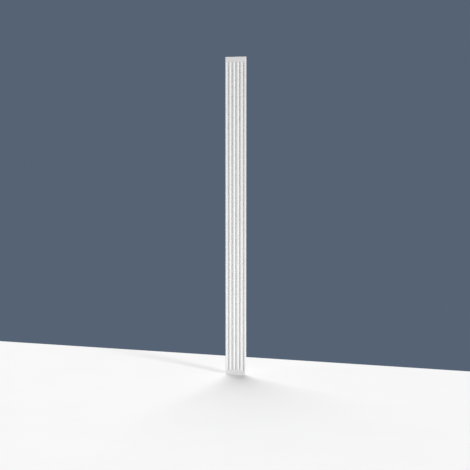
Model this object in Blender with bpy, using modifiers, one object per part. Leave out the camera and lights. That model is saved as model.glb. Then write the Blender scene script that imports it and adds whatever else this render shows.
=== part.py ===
"""Fluted pilaster shaft, a flat moulding made to be fixed to a wall.

Units are metres and +Z is up. The flat back lies on Y = 0 with the origin at its
centre, the fluted face looks along -Y, and X runs across the shaft.
"""

import math

import bpy

# Driving dimensions of the shaft
SHAFT_LENGTH = 2.000
SHAFT_WIDTH = 0.133
SHAFT_DEPTH = 0.018
ARRIS_RADIUS = 0.0015  # rounding of the two long front edges

# Driving dimensions of the fluting
FLUTE_WIDTH = 0.0175  # across the mouth of a flute
FLUTE_DEPTH = 0.007  # from the face to the bottom of a flute
FILLET_MIN_WIDTH = 0.006  # least flat strip between two flutes
END_BAND_HEIGHT = 0.029  # plain band beyond the flutes at each end

# Fineness of the round surfaces
FLUTE_FACETS = 50  # round a full turn, so about 21 across a flute
FLUTE_END_STEPS = 12  # from the tip of a flute's round end to its straight side
ARRIS_STEPS = 3

# Looks of the primed surface
PRIMER_COLOUR = (0.84, 0.84, 0.83, 1.0)
PRIMER_ROUGHNESS = 0.55
PRIMER_METALLIC = 0.0

# As many flutes as fit, with equal fillets between them and beside the outer two
FLUTE_COUNT = int((SHAFT_WIDTH - FILLET_MIN_WIDTH) / (FLUTE_WIDTH + FILLET_MIN_WIDTH))
FILLET_WIDTH = (SHAFT_WIDTH - FLUTE_COUNT * FLUTE_WIDTH) / (FLUTE_COUNT + 1)
FLUTE_PITCH = FLUTE_WIDTH + FILLET_WIDTH

# A flute is an arc on a chord: its centre line stands in front of the face
FLUTE_RADIUS = (FLUTE_WIDTH ** 2 / 4 + FLUTE_DEPTH ** 2) / (2 * FLUTE_DEPTH)
FLUTE_AXIS_Y = -SHAFT_DEPTH - (FLUTE_RADIUS - FLUTE_DEPTH)
FLUTE_HALF_LENGTH = SHAFT_LENGTH / 2 - END_BAND_HEIGHT


def clear_scene():
    """Remove every object that a new file starts with."""
    for item in list(bpy.data.objects):
        bpy.data.objects.remove(item, do_unlink=True)


def new_collection(name):
    """Make a collection in the scene."""
    collection = bpy.data.collections.new(name)
    bpy.context.scene.collection.children.link(collection)
    return collection


def move_to(item, collection):
    """Keep an object in one collection only."""
    for old in list(item.users_collection):
        old.objects.unlink(item)
    collection.objects.link(item)


def primer_material():
    """Matte white primer over rigid foam."""
    material = bpy.data.materials.new("white_primer")
    material.use_nodes = True
    shader = material.node_tree.nodes["Principled BSDF"]
    shader.inputs["Base Color"].default_value = PRIMER_COLOUR
    shader.inputs["Roughness"].default_value = PRIMER_ROUGHNESS
    shader.inputs["Metallic"].default_value = PRIMER_METALLIC
    return material


def add_board(collection):
    """The board before fluting, with its two long front edges rounded."""
    bpy.ops.mesh.primitive_cube_add(size=1.0, location=(0.0, -SHAFT_DEPTH / 2, 0.0))
    board = bpy.context.object
    board.name = "pilaster_shaft"
    board.data.name = "pilaster_shaft"
    board.scale = (SHAFT_WIDTH, SHAFT_DEPTH, SHAFT_LENGTH)
    bpy.ops.object.transform_apply(location=False, rotation=False, scale=True)
    move_to(board, collection)
    board.data.materials.append(primer_material())

    weights = board.data.attributes.new("bevel_weight_edge", "FLOAT", "EDGE")
    for edge in board.data.edges:
        start, end = (board.data.vertices[index].co for index in edge.vertices)
        upright = abs(start.z - end.z) > 0.0
        weights.data[edge.index].value = float(upright and start.y < 0.0)
    arris = board.modifiers.new("arrises", "BEVEL")
    arris.limit_method = "WEIGHT"
    arris.offset_type = "OFFSET"
    arris.width = ARRIS_RADIUS
    arris.segments = ARRIS_STEPS
    return board


def flute_profile():
    """Half the outline of a flute cutter, from its top tip down its outer side."""
    straight_end = FLUTE_HALF_LENGTH - FLUTE_WIDTH / 2
    points = []
    for step in range(FLUTE_END_STEPS + 1):
        angle = math.radians(90.0) * (1.0 - step / FLUTE_END_STEPS)
        points.append((FLUTE_RADIUS * math.cos(angle), straight_end + FLUTE_RADIUS * math.sin(angle)))
    points[0] = (0.0, points[0][1])
    return points + [(radius, -height) for radius, height in reversed(points)]


def flute_mesh():
    """The open profile line that each flute cutter turns about its own axis."""
    points = flute_profile()
    mesh = bpy.data.meshes.new("flute_cutter")
    mesh.from_pydata(
        [(radius, 0.0, height) for radius, height in points],
        [(index, index + 1) for index in range(len(points) - 1)],
        [],
    )
    return mesh


def add_flute_cutter(index, mesh, collection):
    """One round-ended bar, standing where it cuts a flute into the face."""
    cutter = bpy.data.objects.new(f"flute_cutter_{index + 1}", mesh)
    cutter.location = ((index - (FLUTE_COUNT - 1) / 2) * FLUTE_PITCH, FLUTE_AXIS_Y, 0.0)
    cutter.rotation_euler = (0.0, 0.0, math.radians(90.0))
    cutter.hide_render = True
    cutter.display_type = "WIRE"
    collection.objects.link(cutter)

    turn = cutter.modifiers.new("turn", "SCREW")
    turn.axis = "Z"
    turn.angle = math.radians(360.0)
    turn.steps = FLUTE_FACETS
    turn.render_steps = FLUTE_FACETS
    turn.use_merge_vertices = True
    turn.merge_threshold = 0.00001
    return cutter


def cut_flute(board, cutter):
    """Take one flute out of the board's face."""
    cut = board.modifiers.new(f"cut_{cutter.name}", "BOOLEAN")
    cut.operation = "DIFFERENCE"
    cut.solver = "EXACT"
    cut.object = cutter


def main():
    clear_scene()
    shaft_collection = new_collection("pilaster_shaft")
    cutter_collection = new_collection("cutters")

    board = add_board(shaft_collection)
    profile = flute_mesh()
    for index in range(FLUTE_COUNT):
        cutter = add_flute_cutter(index, profile, cutter_collection)
        cut_flute(board, cutter)


main()
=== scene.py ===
"""Looks of a fluted pilaster shaft: a white primed moulding of rigid foam.

Units are metres and +Z is up. The fluted face looks along -Y, the flat back lies on
Y = 0, and the origin is at the centre of the back.
"""

import math

import bmesh
import bpy
from bpy.props import FloatProperty, FloatVectorProperty, IntProperty, PointerProperty
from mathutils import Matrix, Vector


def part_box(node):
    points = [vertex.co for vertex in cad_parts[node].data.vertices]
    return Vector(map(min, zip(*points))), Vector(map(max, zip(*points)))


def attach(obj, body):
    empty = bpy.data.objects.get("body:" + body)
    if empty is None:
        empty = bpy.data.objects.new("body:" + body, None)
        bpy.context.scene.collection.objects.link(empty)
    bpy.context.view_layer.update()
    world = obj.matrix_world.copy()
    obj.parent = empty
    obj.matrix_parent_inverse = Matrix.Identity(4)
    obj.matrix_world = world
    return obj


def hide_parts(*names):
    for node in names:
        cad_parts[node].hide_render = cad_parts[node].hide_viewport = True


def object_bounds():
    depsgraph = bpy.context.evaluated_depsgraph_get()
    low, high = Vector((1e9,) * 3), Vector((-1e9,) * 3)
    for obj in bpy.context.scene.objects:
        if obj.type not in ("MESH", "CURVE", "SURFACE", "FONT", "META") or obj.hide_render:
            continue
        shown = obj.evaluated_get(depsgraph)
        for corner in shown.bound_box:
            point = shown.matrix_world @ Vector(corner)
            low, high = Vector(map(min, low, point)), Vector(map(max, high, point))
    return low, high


bl_info = {
    "name": "Fluted Pilaster Shaft",
    "version": (1, 0, 0),
    "blender": (4, 5, 0),
    "location": "View3D > Sidebar > Pilaster",
    "description": "Builds a primed, fluted pilaster shaft and a plain studio stage",
    "category": "Add Mesh",
}

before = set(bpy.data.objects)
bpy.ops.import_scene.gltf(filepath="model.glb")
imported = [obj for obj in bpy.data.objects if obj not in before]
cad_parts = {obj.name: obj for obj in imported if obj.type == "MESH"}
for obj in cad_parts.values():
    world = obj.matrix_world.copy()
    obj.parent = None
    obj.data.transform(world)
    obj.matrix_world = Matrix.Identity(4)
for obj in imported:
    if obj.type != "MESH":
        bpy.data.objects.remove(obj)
CAD_LOW, CAD_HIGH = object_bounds()
SHAFT_NODE = "pilaster_shaft"
SHAFT_LOW, SHAFT_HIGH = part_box(SHAFT_NODE)
MM = 0.001


def linear_colour(hex_code):
    """Turn an sRGB hex colour into the linear values that shaders work in."""
    channels = [int(hex_code[place:place + 2], 16) / 255 for place in (1, 3, 5)]
    return tuple(c / 12.92 if c <= 0.04045 else ((c + 0.055) / 1.055) ** 2.4 for c in channels)


def with_alpha(colour):
    """A node's colour socket takes four values."""
    return (*colour, 1.0)


def pattern_scale(size_mm):
    """Texture scale that makes a noise or cell pattern about this many millimetres across."""
    return 1.0 / (size_mm * MM)


def add_node(tree, kind, inputs=None, **settings):
    """Add a node with its settings, and with a value or a link for each input named."""
    node = tree.nodes.new(kind)
    for name, value in settings.items():
        setattr(node, name, value)
    for name, value in (inputs or {}).items():
        sources = value if isinstance(value, list) else [value]
        for source in sources:
            if isinstance(source, bpy.types.NodeSocket):
                tree.links.new(source, node.inputs[name])
            else:
                node.inputs[name].default_value = source
    return node


# Sizes and colours that a user would change


class PilasterSizes(bpy.types.PropertyGroup):
    """Sizes of the shaft, of which the overall ones come from the frame."""

    length: FloatProperty(
        name="Length", description="Height of the shaft from foot to top",
        default=SHAFT_HIGH.z - SHAFT_LOW.z, min=0.2, unit="LENGTH")
    width: FloatProperty(
        name="Width", description="Width across the fluted face",
        default=SHAFT_HIGH.x - SHAFT_LOW.x, min=0.02, unit="LENGTH")
    depth: FloatProperty(
        name="Depth", description="From the back to the fluted face",
        default=SHAFT_HIGH.y - SHAFT_LOW.y, min=0.005, unit="LENGTH")
    flute_count: IntProperty(
        name="Flutes", description="Number of flutes side by side", default=5, min=1)
    flute_width: FloatProperty(
        name="Flute width", description="Across the mouth of a flute",
        default=17.5 * MM, min=0.001, unit="LENGTH")
    flute_depth: FloatProperty(
        name="Flute depth", description="From the face to the bottom of a flute",
        default=7.0 * MM, min=0.0005, unit="LENGTH")
    end_band: FloatProperty(
        name="End band", description="Plain band beyond the flutes at each end",
        default=29.0 * MM, min=0.001, unit="LENGTH")
    front_arris: FloatProperty(
        name="Front arris", description="Rounding of the two long front edges",
        default=1.5 * MM, min=0.0001, unit="LENGTH")
    flute_arris: FloatProperty(
        name="Flute arris", description="Rounding of a flute's rim",
        default=0.6 * MM, min=0.0001, unit="LENGTH")
    cut_edge: FloatProperty(
        name="Cut edge", description="Softening of the sawn and planed edges",
        default=0.25 * MM, min=0.00005, unit="LENGTH")


class PilasterColours(bpy.types.PropertyGroup):
    """Colours of the shaft and of the stage."""

    primer: FloatVectorProperty(
        name="Primer", description="Factory coat on the face and sides",
        default=linear_colour("#F0F0F0"), size=3, subtype="COLOR", min=0.0, max=1.0)
    thin_primer: FloatVectorProperty(
        name="Thin primer", description="The same coat where it dried a little thinner",
        default=linear_colour("#EAEAEA"), size=3, subtype="COLOR", min=0.0, max=1.0)
    foam: FloatVectorProperty(
        name="Foam", description="Bare rigid foam on the sawn ends",
        default=linear_colour("#F1EDE2"), size=3, subtype="COLOR", min=0.0, max=1.0)
    floor: FloatVectorProperty(
        name="Floor", description="Studio floor",
        default=linear_colour("#F4F4F4"), size=3, subtype="COLOR", min=0.0, max=1.0)
    backdrop: FloatVectorProperty(
        name="Backdrop", description="What the camera sees behind the shaft",
        default=linear_colour("#566375"), size=3, subtype="COLOR", min=0.0, max=1.0)


# Materials

# Real sizes of the patterns
COAT_DRIFT_MM = 90  # about a hand's width
ORANGE_PEEL_MM = 2.0  # from crest to crest
FOAM_CELL_MM = 1.0  # a real cell is about 0.3 mm across, and is drawn larger so that it shows
PLANING_LINE_MM = 2.0  # from line to line
THIN_STREAK_MM = 25  # across a streak
FLOOR_MOTTLE_MM = 300

# Patterns on the back are drawn out along the shaft
PLANING_LINE_SCALE = (1.0, 1.0, 0.02)
THIN_STREAK_SCALE = (1.0, 1.0, 0.12)

# Depth of the relief
ORANGE_PEEL_DEPTH = 0.03 * MM
FOAM_CELL_DEPTH = 0.15 * MM
PLANING_LINE_DEPTH = 0.1 * MM

# Roughness, from the smoothest to the roughest place where it varies
PRIMER_SMOOTHEST = 0.68
PRIMER_ROUGHEST = 0.80
BACK_SMOOTHEST = 0.66
BACK_ROUGHEST = 0.86
FOAM_ROUGHNESS = 0.9
FLOOR_ROUGHNESS = 0.8
PRIMER_SPECULAR = 0.30

# Share of the colour that is left in the darker places: the painted shade in the pit of a foam
# cell, and the floor's deeper mottle
FOAM_CELL_PAINTED_SHADE = 0.86
FLOOR_MOTTLE_SHADE = 0.97

# Places of a Mix node's colour sockets, whose names its other sockets share
MIX_SHARE = 0
MIX_FIRST = 6
MIX_SECOND = 7
MIX_RESULT = 2


def start_material(name):
    """A new material, with its node tree and the shader that the tree leads to."""
    material = bpy.data.materials.new(name)
    material.use_nodes = True
    tree = material.node_tree
    return material, tree, tree.nodes["Principled BSDF"]


def darker(colour, share):
    """The colour with this share of its light left."""
    return tuple(share * channel for channel in colour)


def primed_foam_material(colours):
    """Moulded rigid foam under sprayed matte primer: even white, with a faint orange peel."""
    material, tree, shader = start_material("sprayed_white_primer")
    place = add_node(tree, "ShaderNodeTexCoord").outputs["Object"]

    # The coat's thickness drifts over the face
    drift = add_node(tree, "ShaderNodeTexNoise",
                     {"Vector": place, "Scale": pattern_scale(COAT_DRIFT_MM), "Detail": 3.0})
    colour = add_node(tree, "ShaderNodeMix",
                      {MIX_SHARE: drift.outputs[0], MIX_FIRST: with_alpha(colours.primer),
                       MIX_SECOND: with_alpha(colours.thin_primer)}, data_type="RGBA")
    tree.links.new(colour.outputs[MIX_RESULT], shader.inputs["Base Color"])

    # Orange peel of a sprayed coat
    peel = add_node(tree, "ShaderNodeTexNoise",
                    {"Vector": place, "Scale": pattern_scale(ORANGE_PEEL_MM), "Detail": 2.0})
    sheen = add_node(tree, "ShaderNodeMapRange",
                     {"Value": peel.outputs[0], "To Min": PRIMER_SMOOTHEST,
                      "To Max": PRIMER_ROUGHEST})
    tree.links.new(sheen.outputs[0], shader.inputs["Roughness"])
    shader.inputs["Specular IOR Level"].default_value = PRIMER_SPECULAR
    relief = add_node(tree, "ShaderNodeBump",
                      {"Height": peel.outputs[0], "Strength": 0.5,
                       "Distance": ORANGE_PEEL_DEPTH})
    tree.links.new(relief.outputs[0], shader.inputs["Normal"])
    return material


def sawn_foam_material(colours):
    """Rigid foam sawn across: creamy white, dull, with fine open cells whose pits carry painted
    shade.
    """
    material, tree, shader = start_material("sawn_rigid_foam")
    place = add_node(tree, "ShaderNodeTexCoord").outputs["Object"]

    # Painted shade: each cell is darkest at its sunken middle, where shade falls in the pit,
    # and pale at its walls
    cells = add_node(tree, "ShaderNodeTexVoronoi",
                     {"Vector": place, "Scale": pattern_scale(FOAM_CELL_MM)}, feature="F1")
    wall = add_node(tree, "ShaderNodeMapRange",
                    {"Value": cells.outputs["Distance"], "From Max": 0.6})
    # Painted shade: the darker colour at the bottom of each cell's pit
    hollow = darker(colours.foam, FOAM_CELL_PAINTED_SHADE)
    colour = add_node(tree, "ShaderNodeMix",
                      {MIX_SHARE: wall.outputs[0], MIX_FIRST: with_alpha(hollow),
                       MIX_SECOND: with_alpha(colours.foam)}, data_type="RGBA")
    tree.links.new(colour.outputs[MIX_RESULT], shader.inputs["Base Color"])
    shader.inputs["Roughness"].default_value = FOAM_ROUGHNESS
    relief = add_node(tree, "ShaderNodeBump",
                      {"Height": cells.outputs["Distance"], "Strength": 0.4,
                       "Distance": FOAM_CELL_DEPTH})
    tree.links.new(relief.outputs[0], shader.inputs["Normal"])
    return material


def planed_back_material(colours):
    """Planed back under one thin pass of primer: dull, with faint lines along the shaft."""
    material, tree, shader = start_material("planed_primed_back")
    place = add_node(tree, "ShaderNodeTexCoord").outputs["Object"]

    # Planing lines that run for a hand's length
    line_place = add_node(tree, "ShaderNodeMapping",
                          {"Vector": place, "Scale": PLANING_LINE_SCALE})
    lines = add_node(tree, "ShaderNodeTexNoise",
                     {"Vector": line_place.outputs[0],
                      "Scale": pattern_scale(PLANING_LINE_MM), "Detail": 3.0})

    # Long streaks where the thin coat lets the foam show through
    streak_place = add_node(tree, "ShaderNodeMapping",
                            {"Vector": place, "Scale": THIN_STREAK_SCALE})
    streaks = add_node(tree, "ShaderNodeTexNoise",
                       {"Vector": streak_place.outputs[0],
                        "Scale": pattern_scale(THIN_STREAK_MM), "Detail": 4.0})
    bareness = add_node(tree, "ShaderNodeMapRange",
                        {"Value": streaks.outputs[0], "From Min": 0.35, "From Max": 0.70,
                         "To Max": 0.8})
    colour = add_node(tree, "ShaderNodeMix",
                      {MIX_SHARE: bareness.outputs[0],
                       MIX_FIRST: with_alpha(colours.thin_primer),
                       MIX_SECOND: with_alpha(colours.foam)}, data_type="RGBA")
    tree.links.new(colour.outputs[MIX_RESULT], shader.inputs["Base Color"])
    sheen = add_node(tree, "ShaderNodeMapRange",
                     {"Value": lines.outputs[0], "To Min": BACK_SMOOTHEST,
                      "To Max": BACK_ROUGHEST})
    tree.links.new(sheen.outputs[0], shader.inputs["Roughness"])
    relief = add_node(tree, "ShaderNodeBump",
                      {"Height": lines.outputs[0], "Strength": 0.6,
                       "Distance": PLANING_LINE_DEPTH})
    tree.links.new(relief.outputs[0], shader.inputs["Normal"])
    return material


def floor_material(colours):
    """Smooth painted floor: pale and matte, with a very faint mottle."""
    material, tree, shader = start_material("pale_painted_floor")
    place = add_node(tree, "ShaderNodeTexCoord").outputs["Object"]
    mottle = add_node(tree, "ShaderNodeTexNoise",
                      {"Vector": place, "Scale": pattern_scale(FLOOR_MOTTLE_MM),
                       "Detail": 3.0})
    deeper = darker(colours.floor, FLOOR_MOTTLE_SHADE)
    colour = add_node(tree, "ShaderNodeMix",
                      {MIX_SHARE: mottle.outputs[0], MIX_FIRST: with_alpha(colours.floor),
                       MIX_SECOND: with_alpha(deeper)}, data_type="RGBA")
    tree.links.new(colour.outputs[MIX_RESULT], shader.inputs["Base Color"])
    shader.inputs["Roughness"].default_value = FLOOR_ROUGHNESS
    return material


# The shaft, built lying on its back in the tree and then stood up

TREE_INPUTS = {
    "Length": "NodeSocketFloat",
    "Width": "NodeSocketFloat",
    "Depth": "NodeSocketFloat",
    "Front Arris": "NodeSocketFloat",
    "Flute Count": "NodeSocketInt",
    "Flute Pitch": "NodeSocketFloat",
    "Flute Half Run": "NodeSocketFloat",
    "Flute Radius": "NodeSocketFloat",
    "Flute Lift": "NodeSocketFloat",
    "Flute Turn": "NodeSocketFloat",
    "Flute Arris": "NodeSocketFloat",
    "Mouth Radius": "NodeSocketFloat",
    "Rim Points": "NodeSocketInt",
    "Bowl Points": "NodeSocketInt",
    "Arris Points": "NodeSocketInt",
    "Primer": "NodeSocketMaterial",
    "Sawn Foam": "NodeSocketMaterial",
    "Back": "NodeSocketMaterial",
}
RIM_POINTS = 96  # round the outline of a flute
BOWL_POINTS = 25  # from the rounded rim to the bottom of a flute
ARRIS_POINTS = 7  # round an arris
WELD_DISTANCE = 0.01 * MM
LEVEL_FACE = 0.999  # upward share of the normal, from which a face lies level
CUT_EDGE_ANGLE = math.radians(60)  # an edge that turns by more is softened
CUT_EDGE_STEPS = 2
QUARTER_TURN = math.radians(90)


def tree_sizes(sizes):
    """Work out the tree's inputs from the sizes of the shaft.

    A flute is an arc of Flute Radius whose centre line stands Flute Lift in front of
    the face. The rim's small arc touches the face and the flute, and both turn through
    the same angle, so it starts at Mouth Radius from the flute's middle.
    """
    half_mouth = sizes.flute_width / 2
    radius = (half_mouth ** 2 + sizes.flute_depth ** 2) / (2 * sizes.flute_depth)
    lift = radius - sizes.flute_depth
    rim = sizes.flute_arris
    turn = math.acos((lift + rim) / (radius + rim))
    fillet = (sizes.width - sizes.flute_count * sizes.flute_width) / (sizes.flute_count + 1)
    return {
        "Length": sizes.length,
        "Width": sizes.width,
        "Depth": sizes.depth,
        "Front Arris": sizes.front_arris,
        "Flute Count": sizes.flute_count,
        "Flute Pitch": sizes.flute_width + fillet,
        "Flute Half Run": sizes.length / 2 - sizes.end_band - half_mouth,
        "Flute Radius": radius,
        "Flute Lift": lift,
        "Flute Turn": turn,
        "Flute Arris": rim,
        "Mouth Radius": (radius + rim) * math.sin(turn),
        "Rim Points": RIM_POINTS,
        "Bowl Points": BOWL_POINTS,
        "Arris Points": ARRIS_POINTS,
    }


def rim_outline(tree, given):
    """A flute's outline: a circle pulled apart lengthwise into two round ends."""
    circle = add_node(tree, "GeometryNodeCurvePrimitiveCircle",
                      {"Resolution": given["Rim Points"], "Radius": given["Mouth Radius"]},
                      mode="RADIUS")
    # Half a step's turn leaves no point on the line where the circle parts
    half_step = add_node(tree, "ShaderNodeMath", {0: math.pi, 1: given["Rim Points"]},
                         operation="DIVIDE")
    turn = add_node(tree, "ShaderNodeCombineXYZ", {"Z": half_step.outputs[0]})
    turned = add_node(tree, "GeometryNodeTransform",
                      {"Geometry": circle.outputs[0], "Rotation": turn.outputs[0]})
    place = add_node(tree, "GeometryNodeInputPosition")
    parts = add_node(tree, "ShaderNodeSeparateXYZ", {0: place.outputs[0]})
    side = add_node(tree, "ShaderNodeMath", {0: parts.outputs["Y"]}, operation="SIGN")
    shift = add_node(tree, "ShaderNodeMath", {0: side.outputs[0], 1: given["Flute Half Run"]},
                     operation="MULTIPLY")
    offset = add_node(tree, "ShaderNodeCombineXYZ", {"Y": shift.outputs[0]})
    drawn = add_node(tree, "GeometryNodeSetPosition",
                     {"Geometry": turned.outputs[0], "Offset": offset.outputs[0]})
    upright = add_node(tree, "GeometryNodeSetCurveNormal", {"Curve": drawn.outputs[0]},
                       mode="Z_UP")
    return upright.outputs[0]


def flute_bowl(tree, given, rim):
    """A flute's surface: its rim's small arc and its hollow arc, swept round the rim."""
    rim_turn = add_node(tree, "ShaderNodeMath", {0: given["Flute Turn"], 1: -1.0},
                        operation="MULTIPLY")
    rim_arc = add_node(tree, "GeometryNodeCurveArc",
                       {"Resolution": given["Arris Points"], "Radius": given["Flute Arris"],
                        "Start Angle": -QUARTER_TURN, "Sweep Angle": rim_turn.outputs[0]},
                       mode="RADIUS")
    rim_place = add_node(tree, "ShaderNodeCombineXYZ", {"Y": given["Flute Arris"]})
    rim_set = add_node(tree, "GeometryNodeTransform",
                       {"Geometry": rim_arc.outputs[0], "Translation": rim_place.outputs[0]})

    bowl_start = add_node(tree, "ShaderNodeMath", {0: QUARTER_TURN, 1: given["Flute Turn"]},
                          operation="SUBTRACT")
    bowl_arc = add_node(tree, "GeometryNodeCurveArc",
                        {"Resolution": given["Bowl Points"], "Radius": given["Flute Radius"],
                         "Start Angle": bowl_start.outputs[0],
                         "Sweep Angle": given["Flute Turn"]}, mode="RADIUS")
    inward = add_node(tree, "ShaderNodeMath", {0: given["Mouth Radius"], 1: -1.0},
                      operation="MULTIPLY")
    above = add_node(tree, "ShaderNodeMath", {0: given["Flute Lift"], 1: -1.0},
                     operation="MULTIPLY")
    bowl_place = add_node(tree, "ShaderNodeCombineXYZ",
                          {"X": inward.outputs[0], "Y": above.outputs[0]})
    bowl_set = add_node(tree, "GeometryNodeTransform",
                        {"Geometry": bowl_arc.outputs[0], "Translation": bowl_place.outputs[0]})

    profile = add_node(tree, "GeometryNodeJoinGeometry",
                       {0: [rim_set.outputs[0], bowl_set.outputs[0]]})
    swept = add_node(tree, "GeometryNodeCurveToMesh",
                     {"Curve": rim, "Profile Curve": profile.outputs[0]})
    outward = add_node(tree, "GeometryNodeFlipFaces", {"Mesh": swept.outputs[0]})
    smooth = add_node(tree, "GeometryNodeSetShadeSmooth",
                      {"Geometry": outward.outputs[0], "Shade Smooth": True})
    return smooth.outputs[0]


def flute_row(tree, given):
    """Points on the face, one at the middle of each flute."""
    gaps = add_node(tree, "ShaderNodeMath", {0: given["Flute Count"], 1: 1.0},
                    operation="SUBTRACT")
    span = add_node(tree, "ShaderNodeMath", {0: gaps.outputs[0], 1: given["Flute Pitch"]},
                    operation="MULTIPLY")
    first = add_node(tree, "ShaderNodeMath", {0: span.outputs[0], 1: -0.5},
                     operation="MULTIPLY")
    start = add_node(tree, "ShaderNodeCombineXYZ",
                     {"X": first.outputs[0], "Z": given["Depth"]})
    step = add_node(tree, "ShaderNodeCombineXYZ", {"X": given["Flute Pitch"]})
    line = add_node(tree, "GeometryNodeMeshLine",
                    {"Count": given["Flute Count"], "Start Location": start.outputs[0],
                     "Offset": step.outputs[0]}, mode="OFFSET")
    return line.outputs[0]


def face_plate(tree, given, row, rim):
    """The flat of the face: a rectangle between the arrises, with a hole for each flute."""
    rounded = add_node(tree, "ShaderNodeMath", {0: given["Front Arris"], 1: 2.0},
                       operation="MULTIPLY")
    flat_width = add_node(tree, "ShaderNodeMath", {0: given["Width"], 1: rounded.outputs[0]},
                          operation="SUBTRACT")
    border = add_node(tree, "GeometryNodeCurvePrimitiveQuadrilateral",
                      {"Width": flat_width.outputs[0], "Height": given["Length"]},
                      mode="RECTANGLE")
    rims = add_node(tree, "GeometryNodeInstanceOnPoints", {"Points": row, "Instance": rim})
    outlines = add_node(tree, "GeometryNodeRealizeInstances", {"Geometry": rims.outputs[0]})
    drawn = add_node(tree, "GeometryNodeJoinGeometry",
                     {0: [border.outputs[0], outlines.outputs[0]]})
    filled = add_node(tree, "GeometryNodeFillCurve", {"Curve": drawn.outputs[0]},
                      mode="TRIANGLES")
    height = add_node(tree, "ShaderNodeCombineXYZ", {"Z": given["Depth"]})
    placed = add_node(tree, "GeometryNodeTransform",
                      {"Geometry": filled.outputs[0], "Translation": height.outputs[0]})
    flat = add_node(tree, "GeometryNodeSetShadeSmooth",
                    {"Geometry": placed.outputs[0], "Shade Smooth": False})
    return flat.outputs[0]


def board_shell(tree, given):
    """Sides, back, ends and long front arrises: the board without the flat of its face."""
    outline = add_node(tree, "GeometryNodeCurvePrimitiveQuadrilateral",
                       {"Width": given["Width"], "Height": given["Depth"]}, mode="RECTANGLE")
    place = add_node(tree, "GeometryNodeInputPosition")
    parts = add_node(tree, "ShaderNodeSeparateXYZ", {0: place.outputs[0]})
    front = add_node(tree, "ShaderNodeMath", {0: parts.outputs["Y"], 1: 0.0},
                     operation="LESS_THAN")
    radius = add_node(tree, "ShaderNodeMath", {0: front.outputs[0], 1: given["Front Arris"]},
                      operation="MULTIPLY")
    rounded = add_node(tree, "GeometryNodeFilletCurve",
                       {"Curve": outline.outputs[0], "Count": given["Arris Points"],
                        "Radius": radius.outputs[0], "Limit Radius": True}, mode="POLY")

    half_length = add_node(tree, "ShaderNodeMath", {0: given["Length"], 1: 0.5},
                           operation="MULTIPLY")
    other_half = add_node(tree, "ShaderNodeMath", {0: given["Length"], 1: -0.5},
                          operation="MULTIPLY")
    half_depth = add_node(tree, "ShaderNodeMath", {0: given["Depth"], 1: 0.5},
                          operation="MULTIPLY")
    foot = add_node(tree, "ShaderNodeCombineXYZ",
                    {"Y": other_half.outputs[0], "Z": half_depth.outputs[0]})
    top = add_node(tree, "ShaderNodeCombineXYZ",
                   {"Y": half_length.outputs[0], "Z": half_depth.outputs[0]})
    path = add_node(tree, "GeometryNodeCurvePrimitiveLine",
                    {"Start": foot.outputs[0], "End": top.outputs[0]}, mode="POINTS")
    upright = add_node(tree, "GeometryNodeSetCurveNormal", {"Curve": path.outputs[0]},
                       mode="Z_UP")
    swept = add_node(tree, "GeometryNodeCurveToMesh",
                     {"Curve": upright.outputs[0], "Profile Curve": rounded.outputs[0],
                      "Fill Caps": True})

    normal = add_node(tree, "GeometryNodeInputNormal")
    facing = add_node(tree, "ShaderNodeSeparateXYZ", {0: normal.outputs[0]})
    on_face = add_node(tree, "ShaderNodeMath", {0: facing.outputs["Z"], 1: LEVEL_FACE},
                       operation="GREATER_THAN")
    opened = add_node(tree, "GeometryNodeDeleteGeometry",
                      {"Geometry": swept.outputs[0], "Selection": on_face.outputs[0]},
                      domain="FACE")
    arris_level = add_node(tree, "ShaderNodeMath", {0: given["Depth"], 1: given["Front Arris"]},
                           operation="SUBTRACT")
    on_arris = add_node(tree, "ShaderNodeMath",
                        {0: parts.outputs["Z"], 1: arris_level.outputs[0]},
                        operation="GREATER_THAN")
    shaded = add_node(tree, "GeometryNodeSetShadeSmooth",
                      {"Geometry": opened.outputs[0], "Shade Smooth": on_arris.outputs[0]})
    return shaded.outputs[0]


def finished_surfaces(tree, given, geometry):
    """Primer all over, then bare foam on the sawn ends and the thin coat on the back."""
    place = add_node(tree, "GeometryNodeInputPosition")
    parts = add_node(tree, "ShaderNodeSeparateXYZ", {0: place.outputs[0]})
    height = add_node(tree, "ShaderNodeMath", {0: parts.outputs["Z"]}, operation="ABSOLUTE")
    half_length = add_node(tree, "ShaderNodeMath", {0: given["Length"], 1: 0.5},
                           operation="MULTIPLY")
    near_end = add_node(tree, "ShaderNodeMath", {0: half_length.outputs[0], 1: WELD_DISTANCE},
                        operation="SUBTRACT")
    on_end = add_node(tree, "ShaderNodeMath", {0: height.outputs[0], 1: near_end.outputs[0]},
                      operation="GREATER_THAN")
    on_back = add_node(tree, "ShaderNodeMath", {0: parts.outputs["Y"], 1: -WELD_DISTANCE},
                       operation="GREATER_THAN")

    whole = add_node(tree, "GeometryNodeRealizeInstances", {"Geometry": geometry})
    coated = add_node(tree, "GeometryNodeSetMaterial",
                      {"Geometry": whole.outputs[0], "Material": given["Primer"]})
    sawn = add_node(tree, "GeometryNodeSetMaterial",
                    {"Geometry": coated.outputs[0], "Selection": on_end.outputs[0],
                     "Material": given["Sawn Foam"]})
    backed = add_node(tree, "GeometryNodeSetMaterial",
                      {"Geometry": sawn.outputs[0], "Selection": on_back.outputs[0],
                       "Material": given["Back"]})
    return backed.outputs[0]


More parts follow.
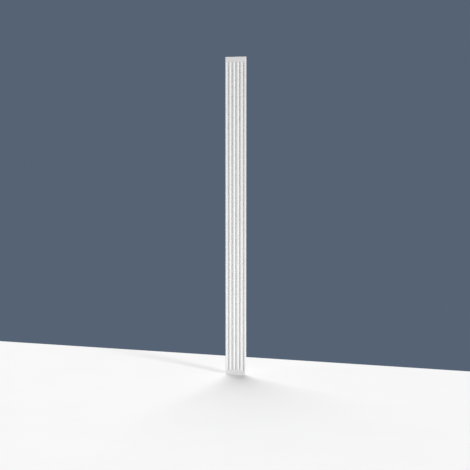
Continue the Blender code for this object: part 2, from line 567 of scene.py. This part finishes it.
def fluted_shaft_tree():
    """The whole shaft as a rule: a board's shell, a holed face and a row of flutes."""
    tree = bpy.data.node_groups.new("fluted_shaft", "GeometryNodeTree")
    tree.is_modifier = True
    tree.interface.new_socket(name="Geometry", in_out="INPUT",
                              socket_type="NodeSocketGeometry")
    for name, kind in TREE_INPUTS.items():
        tree.interface.new_socket(name=name, in_out="INPUT", socket_type=kind)
    tree.interface.new_socket(name="Geometry", in_out="OUTPUT",
                              socket_type="NodeSocketGeometry")
    given = tree.nodes.new("NodeGroupInput").outputs

    rim = rim_outline(tree, given)
    row = flute_row(tree, given)
    bowl = flute_bowl(tree, given, rim)
    flutes = add_node(tree, "GeometryNodeInstanceOnPoints", {"Points": row, "Instance": bowl})
    plate = face_plate(tree, given, row, rim)
    shell = board_shell(tree, given)
    loose = add_node(tree, "GeometryNodeJoinGeometry", {0: [flutes.outputs[0], plate, shell]})
    whole = add_node(tree, "GeometryNodeRealizeInstances", {"Geometry": loose.outputs[0]})
    welded = add_node(tree, "GeometryNodeMergeByDistance",
                      {"Geometry": whole.outputs[0], "Distance": WELD_DISTANCE})
    stood_up = add_node(tree, "GeometryNodeTransform",
                        {"Geometry": welded.outputs[0], "Rotation": (QUARTER_TURN, 0.0, 0.0)})
    finished = finished_surfaces(tree, given, stood_up.outputs[0])
    add_node(tree, "NodeGroupOutput", {0: finished})
    return tree


def set_tree_inputs(modifier, tree, values):
    """Give each named input of the tree its value through the socket's identifier."""
    for socket in tree.interface.items_tree:
        if socket.in_out == "INPUT" and socket.name in values:
            modifier[socket.identifier] = values[socket.name]


def plain_mesh(source, name):
    """The evaluated object as a plain mesh whose faces all point outwards."""
    depsgraph = bpy.context.evaluated_depsgraph_get()
    mesh = bpy.data.meshes.new_from_object(source.evaluated_get(depsgraph),
                                           depsgraph=depsgraph)
    mesh.name = name
    shape = bmesh.new()
    shape.from_mesh(mesh)
    bmesh.ops.recalc_face_normals(shape, faces=shape.faces)
    open_edges = sum(len(edge.link_faces) != 2 for edge in shape.edges)
    shape.to_mesh(mesh)
    shape.free()
    if open_edges:
        raise RuntimeError(f"{name} isn't closed: {open_edges} open edges")
    return mesh


class PILASTER_OT_add_shaft(bpy.types.Operator):
    """Build the fluted shaft and finish its face, sawn ends and back"""

    bl_idname = "pilaster.add_shaft"
    bl_label = "Add Shaft"

    def execute(self, context):
        sizes = context.scene.pilaster_sizes
        colours = context.scene.pilaster_colours
        values = tree_sizes(sizes)
        values["Primer"] = primed_foam_material(colours)
        values["Sawn Foam"] = sawn_foam_material(colours)
        values["Back"] = planed_back_material(colours)

        draft = bpy.data.objects.new("shaft_draft", bpy.data.meshes.new("shaft_draft"))
        context.scene.collection.objects.link(draft)
        tree = fluted_shaft_tree()
        builder = draft.modifiers.new("fluted_shaft", "NODES")
        builder.node_group = tree
        set_tree_inputs(builder, tree, values)
        soften = draft.modifiers.new("cut_edges", "BEVEL")
        soften.limit_method = "ANGLE"
        soften.angle_limit = CUT_EDGE_ANGLE
        soften.width = sizes.cut_edge
        soften.segments = CUT_EDGE_STEPS

        mesh = plain_mesh(draft, "fluted_shaft")
        bpy.data.objects.remove(draft)
        shaft = bpy.data.objects.new("fluted_shaft", mesh)
        context.scene.collection.objects.link(shaft)
        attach(shaft, "root")
        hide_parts(SHAFT_NODE)
        return {"FINISHED"}


# Stage: floor, backdrop, lights and camera

FLOOR_SIDE = 3.2  # reach to each side of the shaft
FLOOR_FRONT = 4.2  # reach towards the camera
FLOOR_BACK = 0.60  # reach behind the shaft
FLOOR_THICKNESS = 0.04

VIEW_AZIMUTH = math.radians(20.1)  # to the right of square on
VIEW_DISTANCE = 7.80
EYE_HEIGHT = 1.50  # above the floor
AIM_HEIGHT = 0.887  # above the floor, at the middle of the picture
AIM_LEFT = 0.0083  # from the shaft's middle to the left, in the picture
LENS_MM = 95.1
SENSOR_MM = 36.0

# Distant lamps: azimuth from square in front, elevation and spread in degrees, and strength
LAMPS = {
    "key_light": (62.0, 14.0, 12.0, 2.15),
    "fill_light": (-60.0, 14.0, 30.0, 0.5),
    "back_light": (-150.0, 52.0, 40.0, 2.4),
}
LAMP_DISTANCE = 5.0
AMBIENT_COLOUR = (1.0, 1.0, 1.0)
AMBIENT_STRENGTH = 0.22


def around(azimuth, elevation, distance):
    """A point at this distance from the shaft's centre; azimuth 0 is square in front."""
    flat = distance * math.cos(elevation)
    return Vector((flat * math.sin(azimuth), -flat * math.cos(azimuth),
                   distance * math.sin(elevation)))


def aim(thing, target):
    """Turn a lamp or the camera towards a point, upright."""
    thing.rotation_euler = (target - thing.location).to_track_quat("-Z", "Y").to_euler()


def add_floor(scene, colours, foot):
    """Pale slab that the shaft stands on."""
    low = Vector((-FLOOR_SIDE, -FLOOR_FRONT, foot - FLOOR_THICKNESS))
    high = Vector((FLOOR_SIDE, FLOOR_BACK, foot))
    shape = bmesh.new()
    bmesh.ops.create_cube(shape, size=1.0)
    bmesh.ops.scale(shape, vec=high - low, verts=shape.verts)
    bmesh.ops.translate(shape, vec=(high + low) / 2, verts=shape.verts)
    mesh = bpy.data.meshes.new("studio_floor")
    shape.to_mesh(mesh)
    shape.free()
    mesh.materials.append(floor_material(colours))
    floor = bpy.data.objects.new("studio_floor", mesh)
    scene.collection.objects.link(floor)


def add_lamp(scene, name, azimuth, elevation, spread, strength):
    """Wide, far-off light towards the shaft's centre, even over the shaft and the floor."""
    light = bpy.data.lights.new(name, "SUN")
    light.angle = math.radians(spread)
    light.energy = strength
    lamp = bpy.data.objects.new(name, light)
    lamp.location = around(math.radians(azimuth), math.radians(elevation), LAMP_DISTANCE)
    lamp.visible_camera = False
    scene.collection.objects.link(lamp)
    aim(lamp, Vector())


def set_backdrop(scene, colours):
    """Even neutral light from all round, and a plain colour where the camera looks past."""
    world = bpy.data.worlds.new("studio")
    scene.world = world
    world.use_nodes = True
    tree = world.node_tree
    tree.nodes.clear()
    ambient = add_node(tree, "ShaderNodeBackground",
                       {"Color": with_alpha(AMBIENT_COLOUR), "Strength": AMBIENT_STRENGTH})
    seen = add_node(tree, "ShaderNodeBackground", {"Color": with_alpha(colours.backdrop)})
    path = add_node(tree, "ShaderNodeLightPath")
    choice = add_node(tree, "ShaderNodeMixShader",
                      {0: path.outputs["Is Camera Ray"], 1: ambient.outputs[0],
                       2: seen.outputs[0]})
    add_node(tree, "ShaderNodeOutputWorld", {"Surface": choice.outputs[0]})


def add_camera(scene, foot):
    """Camera to the right of square on, at eye height, looking slightly down."""
    data = bpy.data.cameras.new("camera")
    data.lens = LENS_MM
    data.sensor_width = SENSOR_MM
    camera = bpy.data.objects.new("camera", data)
    camera.location = around(VIEW_AZIMUTH, 0.0, VIEW_DISTANCE)
    camera.location.z = foot + EYE_HEIGHT
    scene.collection.objects.link(camera)
    to_left = Vector((-math.cos(VIEW_AZIMUTH), -math.sin(VIEW_AZIMUTH), 0.0))
    aim(camera, AIM_LEFT * to_left + Vector((0.0, 0.0, foot + AIM_HEIGHT)))
    scene.camera = camera


class PILASTER_OT_add_stage(bpy.types.Operator):
    """Add the floor, the backdrop, the lights and the camera"""

    bl_idname = "pilaster.add_stage"
    bl_label = "Add Stage"

    def execute(self, context):
        scene = context.scene
        colours = scene.pilaster_colours
        foot = CAD_LOW.z
        add_floor(scene, colours, foot)
        set_backdrop(scene, colours)
        for name, setting in LAMPS.items():
            add_lamp(scene, name, *setting)
        add_camera(scene, foot)
        scene.view_settings.view_transform = "Standard"
        return {"FINISHED"}


class PILASTER_PT_panel(bpy.types.Panel):
    """Sidebar panel with the sizes, the colours and the two operators"""

    bl_label = "Pilaster Shaft"
    bl_idname = "PILASTER_PT_panel"
    bl_space_type = "VIEW_3D"
    bl_region_type = "UI"
    bl_category = "Pilaster"

    def draw(self, context):
        for group in (context.scene.pilaster_sizes, context.scene.pilaster_colours):
            column = self.layout.column(align=True)
            for name in group.__annotations__:
                column.prop(group, name)
        self.layout.operator("pilaster.add_shaft")
        self.layout.operator("pilaster.add_stage")


CLASSES = (
    PilasterSizes,
    PilasterColours,
    PILASTER_OT_add_shaft,
    PILASTER_OT_add_stage,
    PILASTER_PT_panel,
)


def register():
    for item in CLASSES:
        bpy.utils.register_class(item)
    bpy.types.Scene.pilaster_sizes = PointerProperty(type=PilasterSizes)
    bpy.types.Scene.pilaster_colours = PointerProperty(type=PilasterColours)


def unregister():
    del bpy.types.Scene.pilaster_colours
    del bpy.types.Scene.pilaster_sizes
    for item in reversed(CLASSES):
        bpy.utils.unregister_class(item)


def main():
    """Register the add-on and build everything."""
    register()
    bpy.ops.pilaster.add_shaft()
    bpy.ops.pilaster.add_stage()


if __name__ == "__main__":
    main()
